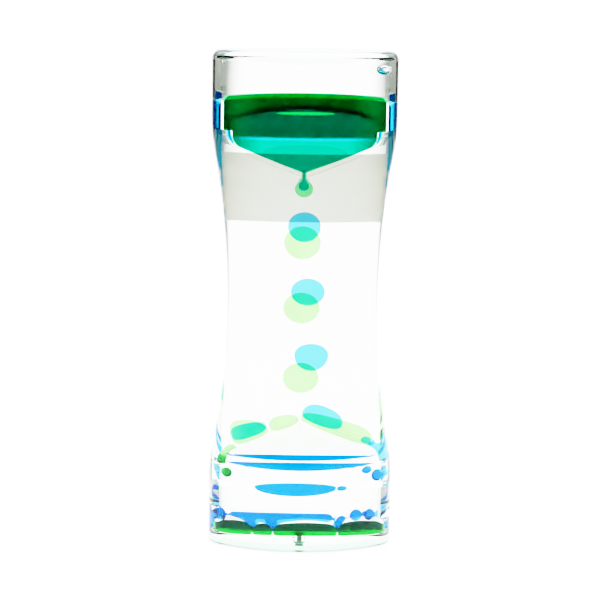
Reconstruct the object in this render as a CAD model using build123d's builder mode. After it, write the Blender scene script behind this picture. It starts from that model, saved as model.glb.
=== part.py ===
# Liquid motion timer: a clear waisted case with a front and a rear liquid cell.
# Millimetres. +Z is up, -Y is the front, and the origin is under the middle of the base.
import os
from math import asin, cos, radians, sin, tan

from build123d import *

# Case: bowed faces, rounded corners and flat sides, straight at both ends and drawn in at the waist
case_height = 140.0
end_width = 52.0
end_depth = 30.0
end_corner = 8.0
end_side = 2.0
end_length = 24.0
waist_width = 42.0
waist_depth = 26.0
waist_corner = 4.0
waist_side = 12.0
bend_ease = 4.3
waist_sections = 25

# Well: the flat-walled hollow of the case, shared by the two cells
side_wall = 3.0
cell_depth = 5.6
well_corner = 5.0
waist_blend = 40.0

# End caps: a plate with a spigot that stands into the well
cap_thickness = 2.0
cap_edge = 1.0
floor_spigot = 1.2
ceiling_spigot = 0.6
ceiling_crown = 1.0
crown_half_width = 17.0

# Divider between the cells, seated in a slot of each cap
divider_thickness = 1.2
divider_seat = 0.5

# Funnel tray. Heights count from the end of the case that the tray belongs to
eave_rise = 3.24
roof_slope = 22.0
eave_gap = 2.4
funnel_draft = 0.4
funnel_wall = 1.2
eave_round = 4.5
shoulder_top = 23.4
shoulder_thickness = 1.2
drain_slot = 0.6
blade_thickness = 0.6
blade_tip = 6.4
trough_side = 1.2
apron_crown = 15.5
apron_side = 19.5
nozzle_diameter = 2.6
nozzle_bore = 1.4
nozzle_reach = 0.5

# Filling plugs in the base plate
plug_diameter = 2.0
plug_head = 3.2
plug_head_thickness = 0.9
plug_recess = 0.2

# Plain film on the back of the case
label_drop = 5.0
label_height = 19.5
label_thickness = 0.15
label_wrap = 4.0

# Clearances
bond_gap = 0.1
wet_gap = 0.12
drop_gap = 0.35
film_gap = 0.12
fit_tolerance = 0.001

# Liquid in the upper trays: depth of its surface under the top of the case
pool_level = 12.0
pool_round = 2.0
drop_neck = 1.1

# Hanging drops: length below the nozzle, and width
lime_hanging = (5.6, 4.6)
blue_hanging = (3.6, 3.6)

# Falling drops: x, height as a share of the way from the lower nozzle to the upper one, width, height
lime_falling = {
    "upper": (-0.2, 0.744, 9.5, 9.2),
    "middle": (-0.25, 0.477, 9.6, 8.6),
    "lower": (-0.2, 0.189, 9.4, 8.4),
}
blue_falling = {
    "upper": (0.3, 0.801, 8.1, 8.4),
    "middle": (1.4, 0.533, 8.6, 7.6),
    "lower": (2.5, 0.261, 8.6, 7.6),
}
drop_round = 2.2

# Drops lying on the roof of a lower tray: x of both ends as shares of the tray's half width, thickness
lime_roof = {
    "left_upper": (-0.083, -0.398, 3.0),
    "left_lower": (-0.452, -0.893, 3.4),
    "right": (0.083, 0.893, 3.8),
}
blue_roof = {
    "left": (-0.437, -0.903, 3.8),
    "right": (0.078, 0.495, 4.6),
    "right_bead": (0.723, 0.893, 1.6),
}
roof_drop_depth = 4.0
roof_drop_round_share = 0.42

# Run over the eave
run_thickness = 1.3
run_lap = 1.7
run_rise = 3.2
run_depth = 3.4

# Drops that have come through beside the eave: way in from the blade, way under the shoulder, width, height
lime_drain = (2.2, 1.6, 2.9, 2.5)
blue_drain_bead = (5.0, 1.3, 2.6, 1.8)
blue_drain_drop = (2.0, 2.9, 3.2, 3.2)
drain_round = 0.5

# Puddles on the floor: x of both ends as shares of the well's half width, height
lime_puddle_spans = [
    (-0.987, -0.552, 3.7),
    (-0.539, -0.309, 3.3),
    (-0.296, 0.426, 3.6),
    (0.439, 0.987, 3.9),
]
blue_puddle_spans = [
    (-0.983, -0.822, 4.4),
    (-0.809, 0.374, 4.6),
    (0.387, 0.543, 3.4),
    (0.557, 0.7, 5.2),
    (0.713, 0.887, 5.8),
    (0.9, 0.983, 4.6),
]
puddle_crest = 2.6
puddle_crest_share = 0.48

# Blue film on the apron of the lower rear tray: top, corners and sag of each band, from the shoulder's top
film_thickness = 0.3
film_inset = 3.2
film_bands = [(0.9, 0.7, -0.2), (-1.4, -1.6, -2.8)]

# Drop at the apron's crown: both ends as shares of the tray's half width, then heights from the crown
crown_drop_ends = (-0.563, 0.427)
crown_drop_top = 0.7
crown_drop_end = -0.5
crown_drop_bottom = -2.9
crown_drop_thickness = 1.4
satellite_share = 0.505
satellite_drop = 0.7
satellite_size = (2.4, 1.3)

slope = radians(roof_slope)
well_half = end_width / 2 - side_wall
well_half_depth = divider_thickness / 2 + cell_depth
funnel_half = well_half - eave_gap
blade_outer = well_half - drain_slot
waist_z = case_height / 2
bend_rise = waist_z - end_length
eased_rise = bend_rise - bend_ease
flare_rise = bend_rise ** 2 / eased_rise
straight_end = waist_z - flare_rise - bend_ease
insert_depth = cell_depth - 2 * bond_gap
trough_near = bond_gap + trough_side
trough_depth = insert_depth - 2 * trough_side
apron_near = cell_depth - bond_gap - trough_side
film_near = apron_near - wet_gap - film_thickness
shoulder_low = shoulder_top - shoulder_thickness
roof_apex = shoulder_top + eave_rise + (funnel_half - funnel_draft) * tan(slope)
nozzle_tip = roof_apex + nozzle_reach
fall_height = case_height - 2 * nozzle_tip
label_low = case_height - end_length - label_drop - label_height
film_half_width = funnel_half - film_inset
cell_middle = divider_thickness / 2 + cell_depth / 2
floor_z = cap_thickness + floor_spigot
ceiling_z = case_height - cap_thickness - ceiling_spigot
blade_inner = blade_outer - blade_thickness

os.makedirs("parts", exist_ok=True)


def save(part, name):
    part.label = name
    export_step(part, f"parts/{name}.step")


def oval(width, depth, corner, side):
    """Outline of two bowed faces, four rounded corners and two flat sides."""
    half_width = width / 2
    half_side = side / 2
    bow_depth = depth / 2 - half_side
    centre_x = half_width - corner
    face_radius = (centre_x ** 2 + bow_depth ** 2 - corner ** 2) / (2 * (bow_depth - corner))
    face_angle = asin(centre_x / (face_radius - corner))
    corner_angle = (face_angle + radians(90)) / 2
    tangent_x = centre_x + corner * sin(face_angle)
    tangent_y = half_side + corner * cos(face_angle)
    middle_x = centre_x + corner * sin(corner_angle)
    middle_y = half_side + corner * cos(corner_angle)
    with BuildSketch() as outline:
        with BuildLine():
            ThreePointArc((-tangent_x, -tangent_y), (0, -depth / 2), (tangent_x, -tangent_y))
            ThreePointArc((tangent_x, -tangent_y), (middle_x, -middle_y), (half_width, -half_side))
            Line((half_width, -half_side), (half_width, half_side))
            ThreePointArc((half_width, half_side), (middle_x, middle_y), (tangent_x, tangent_y))
            ThreePointArc((tangent_x, tangent_y), (0, depth / 2), (-tangent_x, tangent_y))
            ThreePointArc((-tangent_x, tangent_y), (-middle_x, middle_y), (-half_width, half_side))
            Line((-half_width, half_side), (-half_width, -half_side))
            ThreePointArc((-half_width, -half_side), (-middle_x, -middle_y), (-tangent_x, -tangent_y))
        make_face()
    return outline.sketch


def end_oval():
    return oval(end_width, end_depth, end_corner, end_side)


def waist_share(z):
    """0 at the straight ends, 1 at the waist: a parabola that eases into the ends."""
    from_waist = abs(z - waist_z)
    if from_waist <= eased_rise:
        return 1 - (from_waist / bend_rise) ** 2
    if from_waist >= flare_rise:
        return 0.0
    eased_share = 1 - (eased_rise / bend_rise) ** 2
    return eased_share * ((flare_rise - from_waist) / (flare_rise - eased_rise)) ** 2


def waist_oval(z, grow=0.0):
    """Section of the case between its straight ends."""
    share = waist_share(z)
    width = end_width + share * (waist_width - end_width)
    depth = end_depth + share * (waist_depth - end_depth)
    corner = end_corner + share * (waist_corner - end_corner)
    side = end_side + share * (waist_side - end_side)
    return oval(width + 2 * grow, depth + 2 * grow, corner + grow, side)


def waist_heights():
    step = 2 * flare_rise / (waist_sections - 1)
    flared = [waist_z - flare_rise + i * step for i in range(waist_sections)]
    return [straight_end, *flared, case_height - straight_end]


def at_bend(z):
    """True at the height where a straight end meets the waist."""
    return abs(abs(z - waist_z) - bend_rise) < fit_tolerance


def well_form(inset):
    """The hollow of the case over its whole height, drawn in by a clearance."""
    half_end = well_half - inset
    half_waist = waist_width / 2 - side_wall - inset
    upper_bend = case_height - end_length
    with BuildPart() as form:
        with BuildSketch(Plane.XZ) as outline:
            with BuildLine():
                Line((-half_end, 0), (half_end, 0))
                Line((half_end, 0), (half_end, end_length))
                ThreePointArc((half_end, end_length), (half_waist, waist_z), (half_end, upper_bend))
                Line((half_end, upper_bend), (half_end, case_height))
                Line((half_end, case_height), (-half_end, case_height))
                Line((-half_end, case_height), (-half_end, upper_bend))
                ThreePointArc((-half_end, upper_bend), (-half_waist, waist_z), (-half_end, end_length))
                Line((-half_end, end_length), (-half_end, 0))
            make_face()
            fillet(outline.vertices().filter_by(lambda corner: at_bend(corner.Y)), waist_blend)
        extrude(amount=well_half_depth - inset, both=True)
        level_edges = form.edges().filter_by(Axis.X) + form.edges().filter_by(Axis.Y)
        fillet(form.edges() - level_edges, well_corner - inset)
    return form.part


def cell_plane(cell, near, depth):
    """Plane from which an extrusion by depth starts near to the divider, in that cell."""
    start = divider_thickness / 2 + near
    if cell == "front":
        return Plane.XZ.offset(start)
    return Plane.XZ.offset(-start - depth)


def cell_y(cell, distance):
    return -distance if cell == "front" else distance


def bowl(shrink, low_z):
    """Outline of the tray's V with rounded eaves, upside down, moved in by shrink."""
    apex = roof_apex - shrink / cos(slope)
    foot_x = funnel_half - shrink
    eave_x = foot_x - funnel_draft
    eave_z = apex - eave_x * tan(slope)
    left = [(-foot_x, low_z), (-eave_x, eave_z)]
    right = [(eave_x, eave_z), (foot_x, low_z)]
    with BuildSketch() as outline:
        with BuildLine():
            Polyline(*left, (0, apex), *right, close=True)
        make_face()
        eaves = outline.vertices().filter_by(lambda corner: abs(abs(corner.X) - eave_x) < fit_tolerance)
        fillet(eaves, eave_round - shrink)
    return outline.sketch


def apron_outline(grow):
    """Arched wall that stands on the tray's outer side."""
    half = funnel_half + grow
    with BuildSketch() as outline:
        with BuildLine():
            ThreePointArc((-half, apron_side - grow), (0, apron_crown - grow), (half, apron_side - grow))
            Line((half, apron_side - grow), (half, shoulder_low))
            Line((half, shoulder_low), (-half, shoulder_low))
            Line((-half, shoulder_low), (-half, apron_side - grow))
        make_face()
    return outline.sketch


# Case body: two straight ends and the lofted waist, hollowed by the well
with BuildPart() as case_body:
    with BuildSketch(Plane.XY.offset(cap_thickness)):
        add(end_oval())
    extrude(amount=straight_end - cap_thickness)
    with BuildSketch(Plane.XY.offset(case_height - straight_end)):
        add(end_oval())
    extrude(amount=straight_end - cap_thickness)
    for height in waist_heights():
        with BuildSketch(Plane.XY.offset(height)):
            add(waist_oval(height))
    loft()
    add(well_form(0), mode=Mode.SUBTRACT)
save(case_body.part, "case_body")

# Bottom cap: plate, spigot, slot for the divider and a stepped filling hole for each cell
with BuildPart() as bottom_end_cap:
    with BuildSketch():
        add(end_oval())
    extrude(amount=cap_thickness)
    fillet(bottom_end_cap.faces().sort_by(Axis.Z)[0].edges(), cap_edge)
    with BuildSketch(Plane.XY.offset(cap_thickness)):
        RectangleRounded(
            2 * well_half - 2 * bond_gap,
            2 * well_half_depth - 2 * bond_gap,
            well_corner - bond_gap,
        )
    extrude(amount=floor_spigot)
    with BuildSketch(Plane.XY.offset(floor_z)):
        Rectangle(2 * well_half, divider_thickness + 2 * bond_gap)
    extrude(amount=-divider_seat, mode=Mode.SUBTRACT)
    with Locations((0, -cell_middle, 0), (0, cell_middle, 0)):
        with Locations(Rotation(180, 0, 0)):
            CounterBoreHole(
                radius=plug_diameter / 2 + bond_gap,
                counter_bore_radius=plug_head / 2 + bond_gap,
                counter_bore_depth=plug_head_thickness + plug_recess,
                depth=floor_z,
            )
save(bottom_end_cap.part, "bottom_end_cap")

# Top cap: plate, low spigot with a crowned underside, and the divider's slot
with BuildPart() as top_end_cap:
    with BuildSketch(Plane.XY.offset(case_height - cap_thickness)):
        add(end_oval())
    extrude(amount=cap_thickness)
    fillet(top_end_cap.faces().sort_by(Axis.Z)[-1].edges(), cap_edge)
    with BuildSketch(Plane.XY.offset(ceiling_z)):
        RectangleRounded(
            2 * well_half - 2 * bond_gap,
            2 * well_half_depth - 2 * bond_gap,
            well_corner - bond_gap,
        )
    extrude(amount=ceiling_spigot)
    with BuildSketch(Plane.XZ):
        with BuildLine():
            ThreePointArc(
                (-crown_half_width, ceiling_z), (0, ceiling_z - ceiling_crown), (crown_half_width, ceiling_z)
            )
            Line((crown_half_width, ceiling_z), (-crown_half_width, ceiling_z))
        make_face()
    extrude(amount=well_half_depth - bond_gap, both=True)
    with BuildSketch(Plane.XY.offset(ceiling_z - ceiling_crown)):
        Rectangle(2 * well_half, divider_thickness + 2 * bond_gap)
    extrude(amount=ceiling_crown + divider_seat, mode=Mode.SUBTRACT)
save(top_end_cap.part, "top_end_cap")

# Filling plugs: a pin with a flat head, sunk a little under the base
for cell in ("front", "rear"):
    with BuildPart() as fill_plug:
        with BuildSketch(Plane.XY.offset(plug_recess)):
            with Locations((0, cell_y(cell, cell_middle))):
                Circle(plug_head / 2)
        extrude(amount=plug_head_thickness)
        with BuildSketch(Plane.XY.offset(plug_recess)):
            with Locations((0, cell_y(cell, cell_middle))):
                Circle(plug_diameter / 2)
        extrude(amount=floor_z - plug_recess)
    save(fill_plug.part, f"{cell}_fill_plug")

# Divider plate: from slot to slot, as wide as the well
with BuildPart() as divider_plate:
    divider_foot = floor_z - divider_seat
    with BuildSketch(Plane.XY.offset(divider_foot)):
        Rectangle(end_width, divider_thickness)
    extrude(amount=ceiling_z + divider_seat - divider_foot)
    add(well_form(bond_gap), mode=Mode.INTERSECT)
save(divider_plate.part, "divider_plate")

# Funnel tray: modelled upside down at the base, as the lower front one lies
with BuildPart() as lower_front_funnel:
    with BuildSketch(cell_plane("front", bond_gap, insert_depth)):
        add(bowl(0, shoulder_low))
    extrude(amount=insert_depth)
    with BuildSketch(cell_plane("front", bond_gap, insert_depth)):
        with Locations((0, shoulder_top - shoulder_thickness / 2)):
            Rectangle(2 * blade_outer, shoulder_thickness)
        for blade_side in (-1, 1):
            blade_x = blade_side * (blade_outer + blade_inner) / 2
            with Locations((blade_x, (blade_tip + shoulder_top) / 2)):
                Rectangle(blade_thickness, shoulder_top - blade_tip)
    extrude(amount=insert_depth)
    with BuildSketch(cell_plane("front", apron_near, trough_side)):
        add(apron_outline(0))
    extrude(amount=trough_side)
    with BuildSketch(Plane.XY.offset(roof_apex - funnel_wall)):
        with Locations((0, -cell_middle)):
            Circle(nozzle_diameter / 2)
    extrude(amount=funnel_wall + nozzle_reach)
    with BuildSketch(cell_plane("front", trough_near, trough_depth)):
        add(bowl(funnel_wall, shoulder_low - shoulder_thickness))
    extrude(amount=trough_depth, mode=Mode.SUBTRACT)
    with BuildSketch(Plane.XY.offset(nozzle_tip)):
        with Locations((0, -cell_middle)):
            Circle(nozzle_bore / 2)
    extrude(amount=-nozzle_reach - 2 * funnel_wall, mode=Mode.SUBTRACT)
    add(well_form(bond_gap), mode=Mode.INTERSECT)
save(lower_front_funnel.part, "lower_front_funnel")

with BuildPart() as lower_rear_funnel:
    mirror(lower_front_funnel.part, about=Plane.XZ)
save(lower_rear_funnel.part, "lower_rear_funnel")

with BuildPart() as upper_front_funnel:
    mirror(lower_front_funnel.part, about=Plane.XY.offset(waist_z))
save(upper_front_funnel.part, "upper_front_funnel")

with BuildPart() as upper_rear_funnel:
    mirror(lower_rear_funnel.part, about=Plane.XY.offset(waist_z))
save(upper_rear_funnel.part, "upper_rear_funnel")

# Plain film on the back: a thin skin that follows the case
with BuildPart() as label_film:
    for height in waist_heights():
        with BuildSketch(Plane.XY.offset(height)):
            add(waist_oval(height, film_gap + label_thickness))
    loft()
    for height in waist_heights():
        with BuildSketch(Plane.XY.offset(height)):
            add(waist_oval(height, film_gap))
    loft(mode=Mode.SUBTRACT)
    with BuildSketch(Plane.XY.offset(label_low)):
        with Locations((0, label_wrap + end_depth / 2)):
            Rectangle(2 * end_width, end_depth)
    extrude(amount=label_height, mode=Mode.INTERSECT)
save(label_film.part, "label_film")


def upper_pool(cell, hanging):
    """Liquid in an upper tray with its hanging drop, modelled upside down at the base."""
    length, width = hanging
    axis_y = cell_y(cell, cell_middle)
    ball = width / 2
    ball_z = nozzle_tip + length - ball
    pool_half = blade_inner - wet_gap
    pool_low = shoulder_low - wet_gap
    with BuildPart() as pool:
        with BuildSketch(cell_plane(cell, 2 * wet_gap, cell_depth - 4 * wet_gap)) as surface:
            with Locations((0, (pool_level + pool_low) / 2)):
                Rectangle(2 * pool_half, pool_low - pool_level)
            fillet(surface.vertices().group_by(Axis.Y)[0], pool_round)
        extrude(amount=cell_depth - 4 * wet_gap)
        with BuildSketch(cell_plane(cell, apron_near - wet_gap, trough_side + bond_gap + wet_gap)):
            add(apron_outline(wet_gap))
        extrude(amount=trough_side + bond_gap + wet_gap, mode=Mode.SUBTRACT)
        with BuildSketch(cell_plane(cell, trough_near + wet_gap, trough_depth - 2 * wet_gap)):
            add(bowl(funnel_wall + wet_gap, shoulder_low - shoulder_thickness))
        extrude(amount=trough_depth - 2 * wet_gap)
        with BuildSketch(Plane.XZ.offset(-axis_y)):
            with BuildLine():
                Line((0, roof_apex - 2 * funnel_wall), (drop_neck / 2, roof_apex - 2 * funnel_wall))
                Line((drop_neck / 2, roof_apex - 2 * funnel_wall), (drop_neck / 2, nozzle_tip + wet_gap))
                Bezier(
                    (drop_neck / 2, nozzle_tip + wet_gap),
                    (drop_neck / 2, nozzle_tip + length / 4),
                    (ball, ball_z - ball),
                    (ball, ball_z),
                )
                RadiusArc((ball, ball_z), (0, ball_z + ball), -ball)
                Line((0, ball_z + ball), (0, roof_apex - 2 * funnel_wall))
            make_face()
        revolve(axis=Axis((0, axis_y, 0), (0, 0, 1)))
        add(well_form(bond_gap + wet_gap), mode=Mode.INTERSECT)
    return pool.part


for colour, cell, hanging in (("lime", "front", lime_hanging), ("blue", "rear", blue_hanging)):
    with BuildPart() as hung_pool:
        mirror(upper_pool(cell, hanging), about=Plane.XY.offset(waist_z))
    save(hung_pool.part, f"{colour}_upper_pool")


def flat_drop(cell, place, depth, rounding):
    """Drop pressed flat between the walls of its cell, rounded at the rim."""
    x, z, width, height = place
    with BuildPart() as drop:
        with BuildSketch(cell_plane(cell, drop_gap, depth)):
            with Locations((x, z)):
                Ellipse(width / 2, height / 2)
        extrude(amount=depth)
        fillet(drop.edges().filter_by(GeomType.ELLIPSE) + drop.edges().filter_by(GeomType.CIRCLE), rounding)
    return drop.part


# Falling drops
falling_depth = cell_depth - 2 * drop_gap
for colour, cell, train in (("lime", "front", lime_falling), ("blue", "rear", blue_falling)):
    for name, (x, share, width, height) in train.items():
        place = (x, nozzle_tip + share * fall_height, width, height)
        save(flat_drop(cell, place, falling_depth, drop_round), f"{colour}_drop_{name}")


def roof_drop(cell, spread):
    """Long drop lying on the slope of a lower tray."""
    near_share, far_share, thickness = spread
    near_x = near_share * funnel_half
    far_x = far_share * funnel_half
    side = 1 if far_x > 0 else -1
    length = abs(far_x - near_x) / cos(slope)
    middle_x = (near_x + far_x) / 2
    roof_z = roof_apex - abs(middle_x) * tan(slope)
    lift = thickness / 2 + drop_gap
    with BuildPart() as drop:
        with BuildSketch(cell_plane(cell, drop_gap, roof_drop_depth)):
            with Locations((middle_x + side * lift * sin(slope), roof_z + lift * cos(slope))):
                SlotOverall(length, thickness, rotation=-side * roof_slope)
        extrude(amount=roof_drop_depth)
        rim = drop.faces().sort_by(Axis.Y)[0].edges() + drop.faces().sort_by(Axis.Y)[-1].edges()
        fillet(rim, roof_drop_round_share * thickness)
    return drop.part


for colour, cell, spreads in (("lime", "front", lime_roof), ("blue", "rear", blue_roof)):
    for name, spread in spreads.items():
        save(roof_drop(cell, spread), f"{colour}_roof_drop_{name}")


def eave_run(cell, side):
    """Liquid running over the rounded eave, down to the shoulder."""
    near = (cell_depth - run_depth) / 2
    with BuildPart() as run:
        with BuildSketch(cell_plane(cell, near, run_depth)):
            add(bowl(-wet_gap - run_thickness, shoulder_top + wet_gap))
        extrude(amount=run_depth)
        with BuildSketch(cell_plane(cell, near, run_depth)):
            add(bowl(-wet_gap, shoulder_low))
        extrude(amount=run_depth, mode=Mode.SUBTRACT)
        with BuildSketch(cell_plane(cell, near, run_depth)):
            with Locations((side * (funnel_half - run_lap + blade_outer) / 2, shoulder_top + run_rise / 2)):
                Rectangle(blade_outer - funnel_half + run_lap, run_rise)
        extrude(amount=run_depth, mode=Mode.INTERSECT)
        add(well_form(bond_gap + wet_gap), mode=Mode.INTERSECT)
    return run.part


save(eave_run("front", -1), "lime_eave_run")
save(eave_run("rear", 1), "blue_eave_run")


def drain_drop(cell, side, place):
    """Drop that has come through beside the eave."""
    distance_in, distance_under, width, height = place
    spot = (side * (blade_inner - distance_in), shoulder_low - distance_under, width, height)
    return flat_drop(cell, spot, film_near - 2 * drop_gap, drain_round)


save(drain_drop("front", -1, lime_drain), "lime_drain_drop")
save(drain_drop("rear", 1, blue_drain_bead), "blue_drain_bead")
save(drain_drop("rear", 1, blue_drain_drop), "blue_drain_drop")


def puddles(cell, spans):
    """Rounded puddles on the floor, one after another across the cell."""
    depth = cell_depth - 4 * wet_gap
    with BuildPart() as floor_liquid:
        for left, right, height in spans:
            width = (right - left) * well_half
            with BuildSketch(cell_plane(cell, 2 * wet_gap, depth)) as outline:
                with Locations(((left + right) * well_half / 2, floor_z + wet_gap + height / 2)):
                    Rectangle(width, height)
                crest = min(puddle_crest, puddle_crest_share * width)
                fillet(outline.vertices().group_by(Axis.Y)[-1], crest)
            extrude(amount=depth)
        with BuildSketch(cell_plane(cell, 0, cell_depth)):
            for blade_side in (-1, 1):
                with Locations((blade_side * (blade_inner - wet_gap), blade_tip - wet_gap)):
                    Rectangle(
                        end_width,
                        shoulder_low,
                        align=(Align.MIN if blade_side > 0 else Align.MAX, Align.MIN),
                    )
        extrude(amount=cell_depth, mode=Mode.SUBTRACT)
        add(well_form(bond_gap + wet_gap), mode=Mode.INTERSECT)
    return floor_liquid.part


save(puddles("front", lime_puddle_spans), "lime_puddles")
save(puddles("rear", blue_puddle_spans), "blue_puddles")

# Blue film on the inner face of the rear apron, and the flat drop at the apron's crown
with BuildPart() as blue_apron_film:
    for band in film_bands:
        top, corner, sag = (shoulder_top + height for height in band)
        with BuildSketch(cell_plane("rear", film_near, film_thickness)):
            with BuildLine():
                Line((-film_half_width, top), (film_half_width, top))
                Line((film_half_width, top), (film_half_width, corner))
                ThreePointArc((film_half_width, corner), (0, sag), (-film_half_width, corner))
                Line((-film_half_width, corner), (-film_half_width, top))
            make_face()
        extrude(amount=film_thickness)
save(blue_apron_film.part, "blue_apron_film")

with BuildPart() as blue_crown_drop:
    left, right = (share * funnel_half for share in crown_drop_ends)
    ends = apron_crown + crown_drop_end
    near = apron_near - wet_gap - crown_drop_thickness
    with BuildSketch(cell_plane("rear", near, crown_drop_thickness)):
        with BuildLine():
            ThreePointArc((left, ends), ((left + right) / 2, apron_crown + crown_drop_top), (right, ends))
            ThreePointArc((right, ends), ((left + right) / 2, apron_crown + crown_drop_bottom), (left, ends))
        make_face()
        with Locations((satellite_share * funnel_half, apron_crown - satellite_drop)):
            Ellipse(satellite_size[0] / 2, satellite_size[1] / 2)
    extrude(amount=crown_drop_thickness)
save(blue_crown_drop.part, "blue_crown_drop")
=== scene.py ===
import math
import bpy
from mathutils import Matrix, Vector


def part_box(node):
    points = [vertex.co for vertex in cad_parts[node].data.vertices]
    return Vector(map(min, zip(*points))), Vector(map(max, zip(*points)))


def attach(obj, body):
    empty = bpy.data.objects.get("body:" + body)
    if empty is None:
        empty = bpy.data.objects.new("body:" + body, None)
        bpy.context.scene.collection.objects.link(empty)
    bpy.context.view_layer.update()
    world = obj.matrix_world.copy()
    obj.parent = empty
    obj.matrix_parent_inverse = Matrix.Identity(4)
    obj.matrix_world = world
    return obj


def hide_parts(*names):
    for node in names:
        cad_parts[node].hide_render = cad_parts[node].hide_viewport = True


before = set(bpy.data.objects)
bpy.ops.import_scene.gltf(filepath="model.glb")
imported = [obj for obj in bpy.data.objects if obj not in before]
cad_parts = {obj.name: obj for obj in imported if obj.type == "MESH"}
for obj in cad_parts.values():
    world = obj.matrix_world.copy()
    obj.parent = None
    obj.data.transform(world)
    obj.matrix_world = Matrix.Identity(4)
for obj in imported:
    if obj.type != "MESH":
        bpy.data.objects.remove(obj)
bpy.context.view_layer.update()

mm = 0.001  # every size below is in millimetres
slope = math.radians(22)  # fall of the roofs and of the tray floors


# helpers for pieces

def nodeMm(name):
    low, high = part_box(name)
    return low / mm, high / mm


def setMaterial(piece, material):
    piece.data.materials.clear()
    piece.data.materials.append(material)


def finishPiece(piece, name, material, body, nodes=()):
    piece.name = name
    piece.data.name = name
    setMaterial(piece, material)
    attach(piece, body)
    if nodes:
        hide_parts(*nodes)
    return piece


def deselectAll():
    if bpy.context.mode != "OBJECT":
        bpy.ops.object.mode_set(mode="OBJECT")
    bpy.ops.object.select_all(action="DESELECT")


def selectOnly(pieces):
    deselectAll()
    for piece in pieces:
        piece.select_set(True)
    bpy.context.view_layer.objects.active = pieces[0]


def joinPieces(pieces):
    selectOnly(pieces)
    bpy.ops.object.join()
    return bpy.context.object


def applyModifier(piece, kind, **settings):
    selectOnly([piece])
    modifier = piece.modifiers.new("step", kind)
    for name, value in settings.items():
        setattr(modifier, name, value)
    bpy.ops.object.modifier_apply(modifier=modifier.name)


def cutOrJoin(piece, tool, operation):
    applyModifier(piece, "BOOLEAN", object=tool, operation=operation, solver="EXACT")
    bpy.data.objects.remove(tool)


def shadeByAngle(piece, degrees):
    selectOnly([piece])
    bpy.ops.object.shade_smooth_by_angle(angle=math.radians(degrees))
    applyModifier(piece, "WEIGHTED_NORMAL", keep_sharp=True)  # flat faces stay flat beside their rounded rims


# helpers for materials

def hexColour(text):
    channels = [int(text[i:i + 2], 16) / 255 for i in (1, 3, 5)]
    return tuple(c / 12.92 if c <= 0.04045 else ((c + 0.055) / 1.055) ** 2.4 for c in channels) + (1.0,)


def rootColour(text):
    # a tint is what a whole piece lets through, so each of its two faces takes the root of it
    return tuple(math.sqrt(c) for c in hexColour(text))


def addNode(tree, kind, inputs=None, **settings):
    made = tree.nodes.new(kind)
    for name, value in settings.items():
        setattr(made, name, value)
    for name, value in (inputs or {}).items():
        if isinstance(value, bpy.types.NodeSocket):
            tree.links.new(value, made.inputs[name])
        else:
            made.inputs[name].default_value = value
    return made


def newMaterial(name):
    material = bpy.data.materials.new(name)
    material.use_nodes = True
    tree = material.node_tree
    tree.nodes.clear()
    place = addNode(tree, "ShaderNodeTexCoord").outputs["Object"]
    return material, tree, place


def useShader(material, kind, inputs):
    shader = addNode(material.node_tree, kind, inputs)
    addNode(material.node_tree, "ShaderNodeOutputMaterial", {"Surface": shader.outputs["BSDF"]})
    return material


def splitPlace(tree, place):
    return addNode(tree, "ShaderNodeSeparateXYZ", {"Vector": place}).outputs


def calculate(tree, operation, *values):
    return addNode(tree, "ShaderNodeMath", dict(enumerate(values)), operation=operation).outputs[0]


def mapRange(tree, value, fromMin, fromMax, toMin=0.0, toMax=1.0, kind="LINEAR"):
    limits = {"From Min": fromMin, "From Max": fromMax, "To Min": toMin, "To Max": toMax}
    made = addNode(tree, "ShaderNodeMapRange", {"Value": value, **limits}, interpolation_type=kind)
    return made.outputs["Result"]


def mixColours(tree, share, first, second):
    return addNode(tree, "ShaderNodeMix", {0: share, 6: first, 7: second}, data_type="RGBA").outputs[2]


def colourRamp(tree, share, stops):
    ramp = addNode(tree, "ShaderNodeValToRGB", {"Fac": share})
    marks = ramp.color_ramp.elements
    while len(marks) < len(stops):
        marks.new(0.5)
    for mark, (at, colour) in zip(marks, stops):
        mark.position = at
    for mark, (at, colour) in zip(marks, stops):
        mark.color = colour
    return ramp.outputs["Color"]


def unevenness(tree, place, size, detail=2.0):
    noise = {"Vector": place, "Scale": 1 / (size * mm), "Detail": detail}
    return addNode(tree, "ShaderNodeTexNoise", noise).outputs["Fac"]


def rippledNormal(tree, place, size, strength, height, detail=2.0):
    bump = {"Height": unevenness(tree, place, size, detail), "Strength": strength, "Distance": height * mm}
    return addNode(tree, "ShaderNodeBump", bump).outputs["Normal"]


# materials

def clearAcrylic():
    # polished moulded acrylic: clear, with painted shade as a darker green-grey tint in the base plate, slow
    # mould ripples in the gloss
    plate = dict(low=1.2, high=3.6, tint="#96BEAA")
    wallTint = "#E3E5E4"
    material, tree, place = newMaterial("clear_acrylic")
    height = splitPlace(tree, place)["Z"]
    share = mapRange(tree, height, plate["low"] * mm, plate["high"] * mm, kind="SMOOTHSTEP")
    return useShader(material, "ShaderNodeBsdfPrincipled", {
        "Base Color": mixColours(tree, share, hexColour(plate["tint"]), hexColour(wallTint)),
        "Roughness": 0.0, "IOR": 1.49, "Transmission Weight": 1.0, "Specular IOR Level": 0.3,
        "Normal": rippledNormal(tree, place, size=14, strength=0.06, height=0.2, detail=1.0)})


def nearClear(name, tint, indexRatio, rippleSize):
    # clear on clear: only its edges bend light a little, so its index is the ratio to what surrounds it
    material, tree, place = newMaterial(name)
    return useShader(material, "ShaderNodeBsdfGlass", {
        "Color": rootColour(tint), "Roughness": 0.0, "IOR": indexRatio,
        "Normal": rippledNormal(tree, place, rippleSize, strength=0.05, height=0.1)})


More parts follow.
